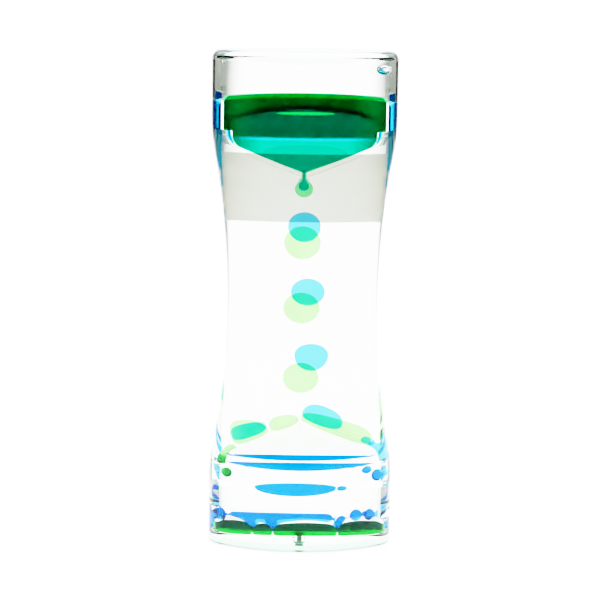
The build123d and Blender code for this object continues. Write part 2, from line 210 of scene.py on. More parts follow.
def dyedLiquid(name, lightTint, deepTint, indexRatio):
    # dyed water in oil: clean saturated tint, a little uneven where the dye swirls
    material, tree, place = newMaterial(name)
    swirl = unevenness(tree, place, size=7)
    tint = colourRamp(tree, swirl, [(0.25, rootColour(lightTint)), (0.75, rootColour(deepTint))])
    return useShader(material, "ShaderNodeBsdfGlass", {"Color": tint, "Roughness": 0.0, "IOR": indexRatio})


def layeredLiquid(name, stops, indexRatio, arch=0.0, sideTint=None):
    # the same dyed water in tint bands by height, as its depth changes, and in the lime pool also painted
    # light and shade: stops are heights with the tint at each
    # arch bends the layers down towards the sides, by that much for each millimetre of x squared
    archFrom, archFull = 117.5, 119.5  # the layers of the trough below stay level
    sideFrom, sideFull = 11.0, 20.5
    material, tree, place = newMaterial(name)
    parts = splitPlace(tree, place)
    bottom, top = stops[0][0], stops[-1][0]
    square = calculate(tree, "MULTIPLY", parts["X"], parts["X"])
    bend = mapRange(tree, parts["Z"], archFrom * mm, archFull * mm, toMax=arch / mm)
    height = calculate(tree, "MULTIPLY_ADD", square, bend, parts["Z"])
    share = mapRange(tree, height, bottom * mm, top * mm)
    tint = colourRamp(tree, share, [((z - bottom) / (top - bottom), rootColour(text)) for z, text in stops])
    if sideTint:  # thinner, so lighter, where the cell rounds off at both sides
        aside = mapRange(tree, square, (sideFrom * mm) ** 2, (sideFull * mm) ** 2)
        tint = mixColours(tree, aside, tint, rootColour(sideTint))
    return useShader(material, "ShaderNodeBsdfGlass", {"Color": tint, "Roughness": 0.0, "IOR": indexRatio})


def satinFilm():
    # thin satin polypropylene film: off-white, lets soft light through, faintly mottled by the glue behind it
    material, tree, place = newMaterial("white_polypropylene_film")
    mottle = unevenness(tree, place, size=5, detail=3.0)
    return useShader(material, "ShaderNodeBsdfPrincipled", {
        "Base Color": mixColours(tree, mottle, hexColour("#F4F2EB"), hexColour("#FAF9F3")),
        "Roughness": 0.6, "IOR": 1.49, "Transmission Weight": 0.65})


def bubbleAir():
    # air shut in oil: a bright middle and a dark mirror rim, on a skin that quivers a little
    material, tree, place = newMaterial("air_in_oil")
    return useShader(material, "ShaderNodeBsdfGlass", {
        "Color": hexColour("#FAFCFD"), "Roughness": 0.0, "IOR": 0.68,
        "Normal": rippledNormal(tree, place, size=2, strength=0.05, height=0.1)})


acrylic = clearAcrylic()
trayAcrylic = nearClear("tray_acrylic_in_oil", "#FAFBFA", 1.004, 6)
whiteOil = nearClear("white_mineral_oil", "#FEFFFD", 0.985, 30)
plugAcrylic = nearClear("plug_acrylic", "#A9CDB8", 1.49, 2)
airBubble = bubbleAir()
limeThin = dyedLiquid("lime_dyed_water_thin", "#9DEA90", "#A8EE9A", 0.995)
limeDeep = dyedLiquid("lime_dyed_water_deep", "#0D7A27", "#12882C", 0.92)
limeFloor = layeredLiquid("lime_dyed_water_floor", [
    (3, "#12A030"), (4.7, "#12A030"), (5.5, "#0D802E"), (9, "#0D802E")], 0.92)
# painted highlight: the pale line from 115.7 to 116.0; painted shade: the dark line from 124.2 to 124.5 along
# the arch, and part of the darker tint above it
limePoolWithPaintedLight = layeredLiquid("lime_dyed_water_pool_painted_light", [
    (104, "#86E4A2"), (115.2, "#86E4A2"), (115.7, "#BCF2E2"), (116.0, "#BCF2E2"), (116.4, "#3CAC56"),
    (123.8, "#35A453"), (124.2, "#0C5A2C"), (124.5, "#0C5A2C"), (125.4, "#0D7233"), (134, "#0D7233")],
    0.97, arch=0.0094, sideTint="#309B50")
limeRun = layeredLiquid("lime_dyed_water_run", [
    (22, "#12882C"), (25.0, "#12882C"), (25.9, "#95E786"), (30, "#95E786")], 0.99)
waterSkin = nearClear("dyed_water_skin", "#F8FFFC", 0.92, 8)  # upper and end skins mirror the light untinted
blueThin = dyedLiquid("blue_dyed_water_thin", "#66C8EE", "#70CDF0", 0.995)
blueDeep = dyedLiquid("blue_dyed_water_deep", "#0D69E1", "#1272E6", 0.94)
blueFilm = dyedLiquid("blue_dyed_water_film", "#0A78E0", "#1080E5", 0.94)
bluePool = layeredLiquid("blue_dyed_water_pool", [
    (104, "#59C4EA"), (115.4, "#59C4EA"), (116.4, "#0D80DC"), (124.0, "#0D80DC"), (125.2, "#0DA2E2"),
    (134, "#0DA2E2")], 0.97, arch=0.0094, sideTint="#2EABE6")
labelFilm = satinFilm()
print("materials made")


# clear case: one moulded and welded shell, with the weld seam of its base plate

case = dict(height=140.0, width=52.0, depth=30.0, corner=8.0, side=2.0, endLength=24.0,
            waistWidth=42.0, waistDepth=26.0, waistCorner=4.0, waistSide=12.0, ease=4.3,
            edgeRound=1.1, topRound=2.4, topRow=0.6, plate=2.0, seamDepth=0.1, seamHalf=0.12,
            edgeSteps=6, waistRows=24, endRows=(0.4, 0.7), faceSteps=24, cornerSteps=14, sideSteps=4)


def waistShare(z):
    # 0 at the straight ends, 1 at the waist: a parabola that eases into the ends
    half = case["height"] / 2
    run = half - case["endLength"]
    eased = run - case["ease"]
    reach = run ** 2 / eased
    fromMiddle = abs(z - half)
    if fromMiddle <= eased:
        return 1 - (fromMiddle / run) ** 2
    if fromMiddle >= reach:
        return 0.0
    return (1 - (eased / run) ** 2) * ((reach - fromMiddle) / (reach - eased)) ** 2


def section(z):
    # width, depth, corner radius and flat side of the case at a height
    share = waistShare(z)
    pairs = (("width", "waistWidth"), ("depth", "waistDepth"),
             ("corner", "waistCorner"), ("side", "waistSide"))
    return [case[end] + share * (case[waist] - case[end]) for end, waist in pairs]


def faceArc(width, depth, corner, side):
    # radius of the bowed face, and half the angle that it spans
    bow = (depth - side) / 2
    inner = width / 2 - corner
    radius = (inner ** 2 + bow ** 2 - corner ** 2) / (2 * (bow - corner))
    return radius, math.asin(inner / (radius - corner))


def foldQuarter(step, quarter):
    # a quarter runs from the front's middle round a corner to the side's middle, the rest mirror it
    # gives the step within that quarter, and the signs of x and y
    turn, along = divmod(step, quarter)
    fold = along if turn % 2 == 0 else quarter - along
    signX = 1 if turn in (0, 1) else -1
    signY = -1 if turn in (0, 3) else 1
    return fold, signX, signY


def ovalPoint(width, depth, corner, side, step):
    radius, faceAngle = faceArc(width, depth, corner, side)
    quarter = case["faceSteps"] + case["cornerSteps"] + case["sideSteps"]
    fold, signX, signY = foldQuarter(step, quarter)
    if fold <= case["faceSteps"]:
        angle = faceAngle * fold / case["faceSteps"]
        x, y = radius * math.sin(angle), radius * (math.cos(angle) - 1) + depth / 2
    elif fold <= case["faceSteps"] + case["cornerSteps"]:
        angle = faceAngle + (math.pi / 2 - faceAngle) * (fold - case["faceSteps"]) / case["cornerSteps"]
        x, y = width / 2 - corner + corner * math.sin(angle), side / 2 + corner * math.cos(angle)
    else:
        x, y = width / 2, side / 2 * (quarter - fold) / case["sideSteps"]
    return signX * x, signY * y


def stackedShell(rows, steps, placePoint):
    # a filled ring is extruded row by row, then every row is drawn to its own outline and height
    deselectAll()
    bpy.ops.mesh.primitive_circle_add(vertices=steps, radius=1, fill_type="NGON")
    bpy.ops.object.mode_set(mode="EDIT")
    bpy.ops.mesh.select_all(action="SELECT")
    for row in rows[1:]:
        bpy.ops.mesh.extrude_region_move(TRANSFORM_OT_translate={"value": (0, 0, 1)})
    bpy.ops.object.mode_set(mode="OBJECT")
    piece = bpy.context.object
    for vertex in piece.data.vertices:
        step = round(math.atan2(vertex.co.x, -vertex.co.y) / (2 * math.pi) * steps) % steps
        vertex.co = Vector(placePoint(rows[round(vertex.co.z)], step)) * mm
    bpy.ops.object.mode_set(mode="EDIT")
    bpy.ops.mesh.select_all(action="SELECT")
    bpy.ops.mesh.normals_make_consistent(inside=False)
    bpy.ops.object.mode_set(mode="OBJECT")
    return piece


def roundedEdge(radius):
    angles = [math.pi / 2 * i / case["edgeSteps"] for i in range(case["edgeSteps"] + 1)]
    return [(radius * (1 - math.cos(angle)), radius * (1 - math.sin(angle))) for angle in angles]


def caseRows():
    # height and inset of every row, from the base up
    half = case["height"] / 2
    bend = case["endLength"] - 1.5 * case["ease"]  # rows are close from just before the waist begins
    seam = [(case["plate"] + offset * case["seamHalf"], inset)
            for offset, inset in ((-1, 0), (0, case["seamDepth"]), (1, 0))]
    waist = [(bend * share, 0) for share in case["endRows"]]
    waist += [(bend + (half - bend) * i / case["waistRows"], 0) for i in range(case["waistRows"])]
    lower = roundedEdge(case["edgeRound"]) + seam + waist
    upper = roundedEdge(case["topRound"]) + [(case["topRound"] + case["topRow"], 0)] + waist
    return lower + [(half, 0)] + [(case["height"] - z, inset) for z, inset in reversed(upper)]


def casePoint(row, step):
    z, inset = row
    width, depth, corner, side = section(z)
    x, y = ovalPoint(width - 2 * inset, depth - 2 * inset, corner - inset, side, step)
    return x, y, z


plugHole = dict(headRadius=1.6, headTop=1.1, shankRadius=1.0, clearance=0.1, skin=0.1, steps=48)


def holeCylinder(y, radius, low, high):
    deselectAll()
    bpy.ops.mesh.primitive_cylinder_add(vertices=plugHole["steps"],
                                        radius=(radius + plugHole["clearance"]) * mm,
                                        depth=(high - low) * mm, location=(0, y * mm, (low + high) / 2 * mm))
    return bpy.context.object


def fillingHole(plug):
    # stepped hole for a filling plug, closed just under the plug's tip
    low, high = nodeMm(plug)
    y = (low.y + high.y) / 2
    hole = holeCylinder(y, plugHole["headRadius"], -plugHole["headTop"], plugHole["headTop"])
    shank = holeCylinder(y, plugHole["shankRadius"], 0, high.z - plugHole["skin"])
    cutOrJoin(hole, shank, "UNION")
    return hole


plugs = ("front_fill_plug", "rear_fill_plug")
caseSteps = 4 * (case["faceSteps"] + case["cornerSteps"] + case["sideSteps"])
caseShell = stackedShell(caseRows(), caseSteps, casePoint)
for plug in plugs:
    cutOrJoin(caseShell, fillingHole(plug), "DIFFERENCE")
shadeByAngle(caseShell, 25)
finishPiece(caseShell, "clear_case", acrylic, "case", ("case_body", "top_end_cap", "bottom_end_cap"))
print("case made", len(caseShell.data.polygons))


# carrier oil: fills the flat-walled well of the case, up to the crowned underside of the top cap

oil = dict(wall=3.0, halfDepth=6.2, corner=5.0, floor=3.2, ceiling=137.4, crown=1.0, crownHalf=17.0,
           crownSteps=720, rows=60, flatSteps=6, cornerSteps=12)
wellSteps = 4 * (2 * oil["flatSteps"] + oil["cornerSteps"])


def oilPoint(z, step):
    half = section(z)[0] / 2 - oil["wall"]
    quarter = 2 * oil["flatSteps"] + oil["cornerSteps"]
    fold, signX, signY = foldQuarter(step, quarter)
    innerX, innerY = half - oil["corner"], oil["halfDepth"] - oil["corner"]
    if fold <= oil["flatSteps"]:
        x, y = innerX * fold / oil["flatSteps"], oil["halfDepth"]
    elif fold >= quarter - oil["flatSteps"]:
        x, y = half, innerY * (quarter - fold) / oil["flatSteps"]
    else:
        angle = math.pi / 2 * (fold - oil["flatSteps"]) / oil["cornerSteps"]
        x, y = innerX + oil["corner"] * math.sin(angle), innerY + oil["corner"] * math.cos(angle)
    return signX * x, signY * y, z


oilHeights = [oil["floor"] + (oil["ceiling"] - oil["floor"]) * i / oil["rows"]
              for i in range(oil["rows"] + 1)]
oilBody = stackedShell(oilHeights, wellSteps, oilPoint)
crownRadius = (oil["crownHalf"] ** 2 + oil["crown"] ** 2) / (2 * oil["crown"])
deselectAll()
bpy.ops.mesh.primitive_cylinder_add(vertices=oil["crownSteps"], radius=crownRadius * mm,
                                    depth=4 * oil["halfDepth"] * mm,
                                    location=(0, 0, (oil["ceiling"] - oil["crown"] + crownRadius) * mm),
                                    rotation=(math.pi / 2, 0, 0))
cutOrJoin(oilBody, bpy.context.object, "DIFFERENCE")
shadeByAngle(oilBody, 20)
finishPiece(oilBody, "carrier_oil", whiteOil, "case")
print("oil made", len(oilBody.data.polygons))


# air bubble under the ceiling, its upper half pressed flatter against it

bubble = dict(x=20.4, y=-2.6, z=135.2, width=4.4, depth=3.2, height=3.2, pressed=0.75)
deselectAll()
bpy.ops.mesh.primitive_uv_sphere_add(segments=32, ring_count=20, radius=0.5 * mm)
airBlob = bpy.context.object
for vertex in airBlob.data.vertices:
    flat = bubble["pressed"] if vertex.co.z > 0 else 1.0
    vertex.co = Vector((bubble["x"] * mm + vertex.co.x * bubble["width"],
                        bubble["y"] * mm + vertex.co.y * bubble["depth"],
                        bubble["z"] * mm + vertex.co.z * bubble["height"] * flat))
shadeByAngle(airBlob, 60)
finishPiece(airBlob, "air_bubble", airBubble, "case")


# label: a plain film bent round the back of the case

label = dict(wrap=4.0, gap=0.12, thickness=0.15, columns=64, rows=18)


def labelPoint(across, z):
    # across runs from -1 to 1 along the film: over the bowed back, round a corner and a little on to the side
    width, depth, corner, side = section(z)
    radius, faceAngle = faceArc(width, depth, corner, side)
    filmRadius, filmCorner = radius + label["gap"], corner + label["gap"]
    lastAngle = math.acos(min(1, max(0, (label["wrap"] - side / 2) / filmCorner)))
    faceLength = filmRadius * faceAngle
    cornerLength = filmCorner * (lastAngle - faceAngle)
    flatLength = max(0, side / 2 - label["wrap"])
    along = abs(across) * (faceLength + cornerLength + flatLength)
    if along <= faceLength:
        angle = along / filmRadius
        x, y = filmRadius * math.sin(angle), filmRadius * math.cos(angle) - radius + depth / 2
    elif along <= faceLength + cornerLength:
        angle = faceAngle + (along - faceLength) / filmCorner
        x, y = width / 2 - corner + filmCorner * math.sin(angle), side / 2 + filmCorner * math.cos(angle)
    else:
        x, y = width / 2 + label["gap"], side / 2 - (along - faceLength - cornerLength)
    return math.copysign(x, across), y, z


low, high = nodeMm("label_film")
deselectAll()
bpy.ops.mesh.primitive_grid_add(x_subdivisions=label["columns"], y_subdivisions=label["rows"], size=2)
labelSheet = bpy.context.object
for vertex in labelSheet.data.vertices:
    vertex.co = Vector(labelPoint(vertex.co.x, low.z + (vertex.co.y + 1) / 2 * (high.z - low.z))) * mm
applyModifier(labelSheet, "SOLIDIFY", thickness=label["thickness"] * mm, offset=-1.0)
shadeByAngle(labelSheet, 40)
finishPiece(labelSheet, "label_sheet", labelFilm, "case", ("label_film",))
print("label made")


# liquids: flat forms pressed between the walls of a cell

def pressedForm(outline, nearY, farY, rim, rimSteps=4, corners=()):
    # an outline in the XZ plane is filled and its corners are rounded,
    # then it is pulled to its depth and its rim rounded
    cornerSteps = 8
    touching = 0.01
    deselectAll()
    bpy.ops.mesh.primitive_circle_add(vertices=len(outline), radius=1, fill_type="NGON")
    piece = bpy.context.object
    for vertex in piece.data.vertices:
        x, z = outline[vertex.index]
        vertex.co = Vector((x, nearY, z)) * mm
    for pick, size in corners:
        bpy.ops.object.mode_set(mode="EDIT")
        bpy.ops.mesh.select_mode(type="VERT")
        bpy.ops.mesh.select_all(action="DESELECT")
        bpy.ops.object.mode_set(mode="OBJECT")
        for vertex in piece.data.vertices:
            vertex.select = any((vertex.co / mm - Vector((x, nearY, z))).length < touching for x, z in pick)
        bpy.ops.object.mode_set(mode="EDIT")
        bpy.ops.mesh.bevel(offset=size * mm, segments=cornerSteps, affect="VERTICES")
        bpy.ops.object.mode_set(mode="OBJECT")
    bpy.ops.object.mode_set(mode="EDIT")
    bpy.ops.mesh.select_mode(type="FACE")
    bpy.ops.mesh.select_all(action="SELECT")
    bpy.ops.mesh.extrude_region_move(TRANSFORM_OT_translate={"value": (0, (farY - nearY) * mm, 0)})
    bpy.ops.mesh.select_all(action="SELECT")
    bpy.ops.mesh.normals_make_consistent(inside=False)
    bpy.ops.mesh.select_all(action="DESELECT")
    bpy.ops.object.mode_set(mode="OBJECT")
    if rim > 0:
        for polygon in piece.data.polygons:
            polygon.select = abs(polygon.normal.y) > 0.9  # the two flat sides
        bpy.ops.object.mode_set(mode="EDIT")
        bpy.ops.mesh.region_to_loop()
        bpy.ops.mesh.bevel(offset=rim * mm, segments=rimSteps, affect="EDGES")
        bpy.ops.object.mode_set(mode="OBJECT")
    return piece


def blobOutline(centre, halfLength, upper, lower, turn=0.0, taper=0.0, square=2.0, steps=72):
    # rounded drop outline: its upper and lower halves differ, and the upper one may taper along its length
    outline = []
    for i in range(steps):
        angle = 2 * math.pi * i / steps
        ahead, up = math.cos(angle), math.sin(angle)
        ahead = math.copysign(abs(ahead) ** (2 / square), ahead)
        up = math.copysign(abs(up) ** (2 / square), up)
        along = ahead * halfLength
        across = up * upper * (1 + taper * ahead) if up > 0 else up * lower
        outline.append((centre[0] + along * math.cos(turn) - across * math.sin(turn),
                        centre[1] + along * math.sin(turn) + across * math.cos(turn)))
    return outline


def finishLiquid(piece, prefix, node, looks, body):
    # the name of a liquid's node begins with its colour
    colour = node.split("_")[0]
    shadeByAngle(piece, 50)
    finishPiece(piece, prefix + node, looks[colour], body, (node,))


thinLooks = dict(lime=limeThin, blue=blueThin)
runLooks = dict(lime=limeRun, blue=blueThin)
drainLooks = dict(lime=limeDeep, blue=blueFilm)


# falling drops: upper and lower half of each outline as shares of its height

fallingRim = 1.6
fallingShapes = {
    "lime_drop_upper": (0.5, 0.5), "lime_drop_middle": (0.5, 0.5), "lime_drop_lower": (0.5, 0.5),
    "blue_drop_upper": (0.5, 0.5), "blue_drop_middle": (0.52, 0.48), "blue_drop_lower": (0.42, 0.58),
}
for node, (upper, lower) in fallingShapes.items():
    low, high = nodeMm(node)
    height = high.z - low.z
    centre = ((low.x + high.x) / 2, low.z + lower * height)
    outline = blobOutline(centre, (high.x - low.x) / 2, upper * height, lower * height)
    finishLiquid(pressedForm(outline, low.y, high.y, fallingRim), "pressed_", node, thinLooks, node)
print("falling drops made")


# roof drops: wedges that lie on the slope, whose box gives their length and thickness
# taper is towards +X, square is how blunt the ends are, upper and lower are shares of the thickness,
# stretch lengthens a drop and shift moves it along the slope

roofRim = dict(most=1.2, share=0.45)
roofShapes = {
    "lime_roof_drop_left_upper": dict(taper=-0.3, square=2.3, upper=0.75, lower=0.4, stretch=1.12, shift=1.5),
    "lime_roof_drop_left_lower": dict(taper=-0.4, square=2.6, upper=1.3, lower=0.45, stretch=1.04, shift=1.5),
    "lime_roof_drop_right": dict(taper=0.3, square=2.8, upper=0.75, lower=0.4, stretch=1.11, shift=-1.7),
    "blue_roof_drop_left": dict(taper=-0.3, square=2.6, upper=0.5, lower=0.5, stretch=0.94, shift=1.7),
    "blue_roof_drop_right": dict(taper=-0.1, square=2.3, upper=0.75, lower=0.4, stretch=1.14, shift=-1.7),
    "blue_roof_drop_right_bead": dict(taper=0.0, square=2.2, upper=0.5, lower=0.5, stretch=1.0, shift=0.0),
}
for node, shape in roofShapes.items():
    low, high = nodeMm(node)
    centre = (low + high) / 2
    side = 1 if centre.x > 0 else -1
    wide, tall = high.x - low.x, high.z - low.z
    thick = (tall - wide * math.tan(slope)) / (1 - math.tan(slope))
    length = (wide - thick) / math.cos(slope) + thick
    turn = -side * slope
    place = (centre.x + shape["shift"] * math.cos(turn), centre.z + shape["shift"] * math.sin(turn))
    upper, lower = shape["upper"] * thick, shape["lower"] * thick
    outline = blobOutline(place, shape["stretch"] * length / 2, upper, lower, turn,
                          shape["taper"], shape["square"])
    drop = pressedForm(outline, low.y, high.y, min(roofRim["most"], roofRim["share"] * lower))
    finishLiquid(drop, "pressed_", node, thinLooks, node)
print("roof drops made")


# runs over the eaves: a strip bent round the rounded eave, thinning towards the roof

run = dict(eaveX=20.2, eaveZ=26.64, eaveRound=4.5, gap=0.14, thickness=1.4, foot=0.5, fromAngle=-2.0,
           toAngle=74.0, steps=20, rim=0.25, rimSteps=3)


def runOutline(side):
    turn = math.pi / 2 - slope
    centreX = run["eaveX"] - run["eaveRound"]
    centreZ = run["eaveZ"] - run["eaveRound"] * math.tan(turn / 2)
    near = run["eaveRound"] + run["gap"]
    inner, outer = [], []
    for i in range(run["steps"] + 1):
        share = i / run["steps"]
        angle = math.radians(run["fromAngle"] + share * (run["toAngle"] - run["fromAngle"]))
        far = near + run["thickness"] * math.sqrt(1 - share ** 4) + run["foot"] * (1 - share) ** 3
        inner.append((side * (centreX + near * math.cos(angle)), centreZ + near * math.sin(angle)))
        outer.append((side * (centreX + far * math.cos(angle)), centreZ + far * math.sin(angle)))
    return inner + outer[-2::-1]


for node, side in (("lime_eave_run", -1), ("blue_eave_run", 1)):
    low, high = nodeMm(node)
    strip = pressedForm(runOutline(side), low.y, high.y, run["rim"], run["rimSteps"])
    finishLiquid(strip, "bent_", node, runLooks, "case")


# drops that have come through beside the eaves

drainRim = 0.5  # share of half the height
for node in ("lime_drain_drop", "blue_drain_bead", "blue_drain_drop"):
    low, high = nodeMm(node)
    half = (high - low) / 2
    outline = blobOutline((low.x + half.x, low.z + half.z), half.x, half.z, half.z)
    finishLiquid(pressedForm(outline, low.y, high.y, drainRim * half.z), "pressed_", node, drainLooks, node)
print("runs and drains made")


# liquid that reaches the rounded walls of the well is trimmed to the well's shape

wellGap = 0.22


def wellTool(lowZ, highZ):
    # a row for each millimetre
    def shrunkPoint(z, step):
        x, y, z = oilPoint(z, step)
        reach = math.hypot(x, y)
        return x - wellGap * x / reach, y - wellGap * y / reach, z

    return stackedShell(range(lowZ, highZ + 1), wellSteps, shrunkPoint)


def roundEdges(piece, width):
    applyModifier(piece, "BEVEL", width=width * mm, segments=3, limit_method="ANGLE",
                  angle_limit=math.radians(40))
    shadeByAngle(piece, 35)


def skinFaces(piece, isSkin):
    piece.data.materials.append(waterSkin)
    for polygon in piece.data.polygons:
        if isSkin(polygon):
            polygon.material_index = 1


def cellBand(front, near, far):
    return (-far, -near) if front else (near, far)


def domedTop(left, right, top, fall, roll, steps):
    # from right to left: a gently domed surface that rolls over at both ends
    middle, half = (left + right) / 2, (right - left) / 2
    points = []
    for i in range(steps + 1):
        x = half * math.cos(math.pi * i / steps)
        over = max(0.0, abs(x) - half + roll)
        drop = roll - math.sqrt(max(0.0, roll ** 2 - over ** 2))
        points.append((middle + x, top - fall * (x / half) ** 2 - drop))
    return points


# upper pools: slab over the shoulder, trough with its V, and the drop that hangs from the nozzle
# past is how far a cutter reaches beyond what it cuts

pool = dict(half=21.68, shoulder=117.92, topRound=1.8, topFall=1.1, topSteps=48, near=0.84, far=5.96,
            troughNear=2.02, troughFar=4.78, troughFoot=119.0, troughHalf=19.28, troughDraft=0.4,
            apexZ=106.62, eaveRound=3.18, apronNear=4.78, apronCrown=124.5, apronSide=120.5,
            apronHalf=20.72, apronSteps=24, lensX=0.2, lensZ=122.6, lensHalf=7.0, lensRise=0.45,
            wellFrom=100, wellTo=132, edge=0.35, past=1.0)
nozzle = dict(axisY=3.4, tip=104.7, neck=0.55, neckTop=0.6, neckSteps=10, swell=2.2, overlap=0.1,
              ringSteps=32)
poolSkin = dict(above=117.0, ends=0.97, top=0.85)  # a height, and how squarely a face looks sideways or up


def hangingDrop(axisY, length, width):
    # neck through the bore, then a bead that swells under the nozzle
    ball = width / 2
    centreZ = nozzle["tip"] - length + ball
    rows = []
    for degrees in range(4, 91, 8):
        angle = math.radians(degrees)
        rows.append((centreZ - ball * math.cos(angle), ball * math.sin(angle)))
    top = nozzle["tip"] + nozzle["overlap"]
    for i in range(1, nozzle["neckSteps"] + 1):
        share = i / nozzle["neckSteps"]
        thick = nozzle["neck"] + (ball - nozzle["neck"]) * (1 - share ** nozzle["swell"])
        rows.append((centreZ + (top - centreZ) * share, thick))
    rows.append((pool["apexZ"] + nozzle["neckTop"], nozzle["neck"]))

    def ringPoint(row, step):
        z, radius = row
        angle = 2 * math.pi * step / nozzle["ringSteps"]
        return radius * math.sin(angle), axisY - radius * math.cos(angle), z

    return stackedShell(rows, nozzle["ringSteps"], ringPoint)


def poolSlab(front, surface):
    near, far = cellBand(front, pool["near"], pool["far"])
    half = pool["half"]
    outline = [(-half, pool["shoulder"]), (half, pool["shoulder"])]
    outline += domedTop(-half, half, surface, pool["topFall"], pool["topRound"], pool["topSteps"])
    slab = pressedForm(outline, near, far, 0)
    arch = [(side * pool["apronHalf"], pool["shoulder"] - pool["past"]) for side in (-1, 1)]
    for i in range(pool["apronSteps"] + 1):
        share = 1 - 2 * i / pool["apronSteps"]
        fall = (pool["apronCrown"] - pool["apronSide"]) * share ** 2
        arch.append((pool["apronHalf"] * share, pool["apronCrown"] - fall))
    apronNear, apronFar = cellBand(front, pool["apronNear"], pool["far"] + pool["past"])
    cutOrJoin(slab, pressedForm(arch, apronNear, apronFar, 0), "DIFFERENCE")
    if not front:  # flat lens of oil caught under the apron's crown
        rise = pool["lensRise"]
        lens = blobOutline((pool["lensX"], pool["lensZ"]), pool["lensHalf"], rise, rise)
        cutOrJoin(slab, pressedForm(lens, near - pool["past"], far + pool["past"], 0), "DIFFERENCE")
    return slab


def poolTrough(front):
    near, far = cellBand(front, pool["troughNear"], pool["troughFar"])
    foot = pool["troughHalf"]
    eave = foot - pool["troughDraft"]
    eaveZ = pool["apexZ"] + eave * math.tan(slope)
    eaves = [(-eave, eaveZ), (eave, eaveZ)]
    feet = [(foot, pool["troughFoot"]), (-foot, pool["troughFoot"])]
    bevel = pool["eaveRound"] * math.tan((math.pi / 2 - slope) / 2)
    outline = [eaves[0], (0, pool["apexZ"]), eaves[1]] + feet
    return pressedForm(outline, near, far, 0, corners=[(eaves, bevel)])


def upperPool(front, surface, dropLength, dropWidth):
    body = poolSlab(front, surface)
    cutOrJoin(body, poolTrough(front), "UNION")
    cutOrJoin(body, wellTool(pool["wellFrom"], pool["wellTo"]), "INTERSECT")
    roundEdges(body, pool["edge"])
    axisY = -nozzle["axisY"] if front else nozzle["axisY"]
    cutOrJoin(body, hangingDrop(axisY, dropLength, dropWidth), "UNION")
    shadeByAngle(body, 35)
    return body


limePoolBody = upperPool(True, surface=128.4, dropLength=4.9, dropWidth=4.6)
finishPiece(limePoolBody, "lime_pool_with_drop", limePoolWithPaintedLight, "case", ("lime_upper_pool",))
skinFaces(limePoolBody, lambda face: abs(face.normal.x) > poolSkin["ends"]
          and face.center.z > poolSkin["above"] * mm)
bluePoolBody = upperPool(False, surface=127.0, dropLength=3.5, dropWidth=3.1)
finishPiece(bluePoolBody, "blue_pool_with_drop", bluePool, "case", ("blue_upper_pool",))
skinFaces(bluePoolBody, lambda face: face.normal.z > poolSkin["top"]
          and face.center.z > poolSkin["above"] * mm)
print("pools made", len(limePoolBody.data.polygons), len(bluePoolBody.data.polygons))


# puddles on the floor, each with a rounded crest and a slightly rolled-in foot
# a span holds the x of both ends, the height and how much the crest falls towards the ends
# skin is how far up a face looks to be one that mirrors the light

puddle = dict(floor=3.32, near=0.84, far=5.96, roll=1.9, rollShare=0.48, foot=0.6, crestSteps=28,
              wellFrom=2, wellTo=14, edge=0.45, skin=0.4)
limeRow = dict(backRise=0.1, spans=[
    (-22.6, -12.7, 4.0, 0.9), (-12.4, -7.1, 3.4, 0.5), (-6.8, 9.8, 3.8, 0.7), (10.1, 22.6, 4.2, 0.9)])
blueRow = dict(backRise=0.0, spans=[
    (-22.5, -18.9, 6.2, 0.3), (-18.6, 8.6, 5.4, 0.2), (8.9, 12.2, 4.6, 0.3), (12.5, 16.0, 6.4, 0.3),
    (16.3, 19.6, 6.4, 0.3), (19.9, 22.5, 2.9, 0.3)])


def puddleRow(front, backRise, spans):
    near, far = cellBand(front, puddle["near"], puddle["far"])
    floorZ = puddle["floor"]
    forms = []
    for left, right, tall, fall in spans:
        feet = [(left, floorZ), (right, floorZ)]
        roll = min(puddle["roll"], puddle["rollShare"] * (right - left))
        crest = domedTop(left, right, floorZ + tall, fall, roll, puddle["crestSteps"])
        form = pressedForm(feet + crest, near, far, 0, corners=[(feet, puddle["foot"])])
        for vertex in form.data.vertices:  # the crest rises towards the back of the cell
            share = (vertex.co.y / mm - near) / (far - near)
            vertex.co.z += backRise * share * (vertex.co.z - floorZ * mm)
        forms.append(form)
    row = joinPieces(forms)
    cutOrJoin(row, wellTool(puddle["wellFrom"], puddle["wellTo"]), "INTERSECT")
    roundEdges(row, puddle["edge"])
    return row


limePuddles = puddleRow(True, **limeRow)
finishPiece(limePuddles, "lime_floor_puddles", limeFloor, "case", ("lime_puddles",))
bluePuddles = puddleRow(False, **blueRow)
finishPiece(bluePuddles, "blue_floor_puddles", blueDeep, "case", ("blue_puddles",))
for puddles in (limePuddles, bluePuddles):
    skinFaces(puddles, lambda face: face.normal.z > puddle["skin"])


# blue film on the rear apron: a straight band and a sagging one, as heights of top, corners and middle

apronFilm = dict(half=18.4, bands=((24.6, 24.4, 23.0), (22.4, 22.3, 20.2)), rim=0.1, rimSteps=2)


def bandOutline(half, top, corner, sag, steps=24):
    outline = [(half, top), (-half, top)]
    for i in range(steps + 1):
        x = -half + 2 * half * i / steps
        outline.append((x, corner - (corner - sag) * (1 - (x / half) ** 2)))
    return outline


low, high = nodeMm("blue_apron_film")
filmBands = joinPieces([
    pressedForm(bandOutline(apronFilm["half"], *band), low.y, high.y, apronFilm["rim"], apronFilm["rimSteps"])
    for band in apronFilm["bands"]])
shadeByAngle(filmBands, 50)
finishPiece(filmBands, "blue_film_bands", blueFilm, "case", ("blue_apron_film",))


# flat drop at the apron's crown, with a small one beside it

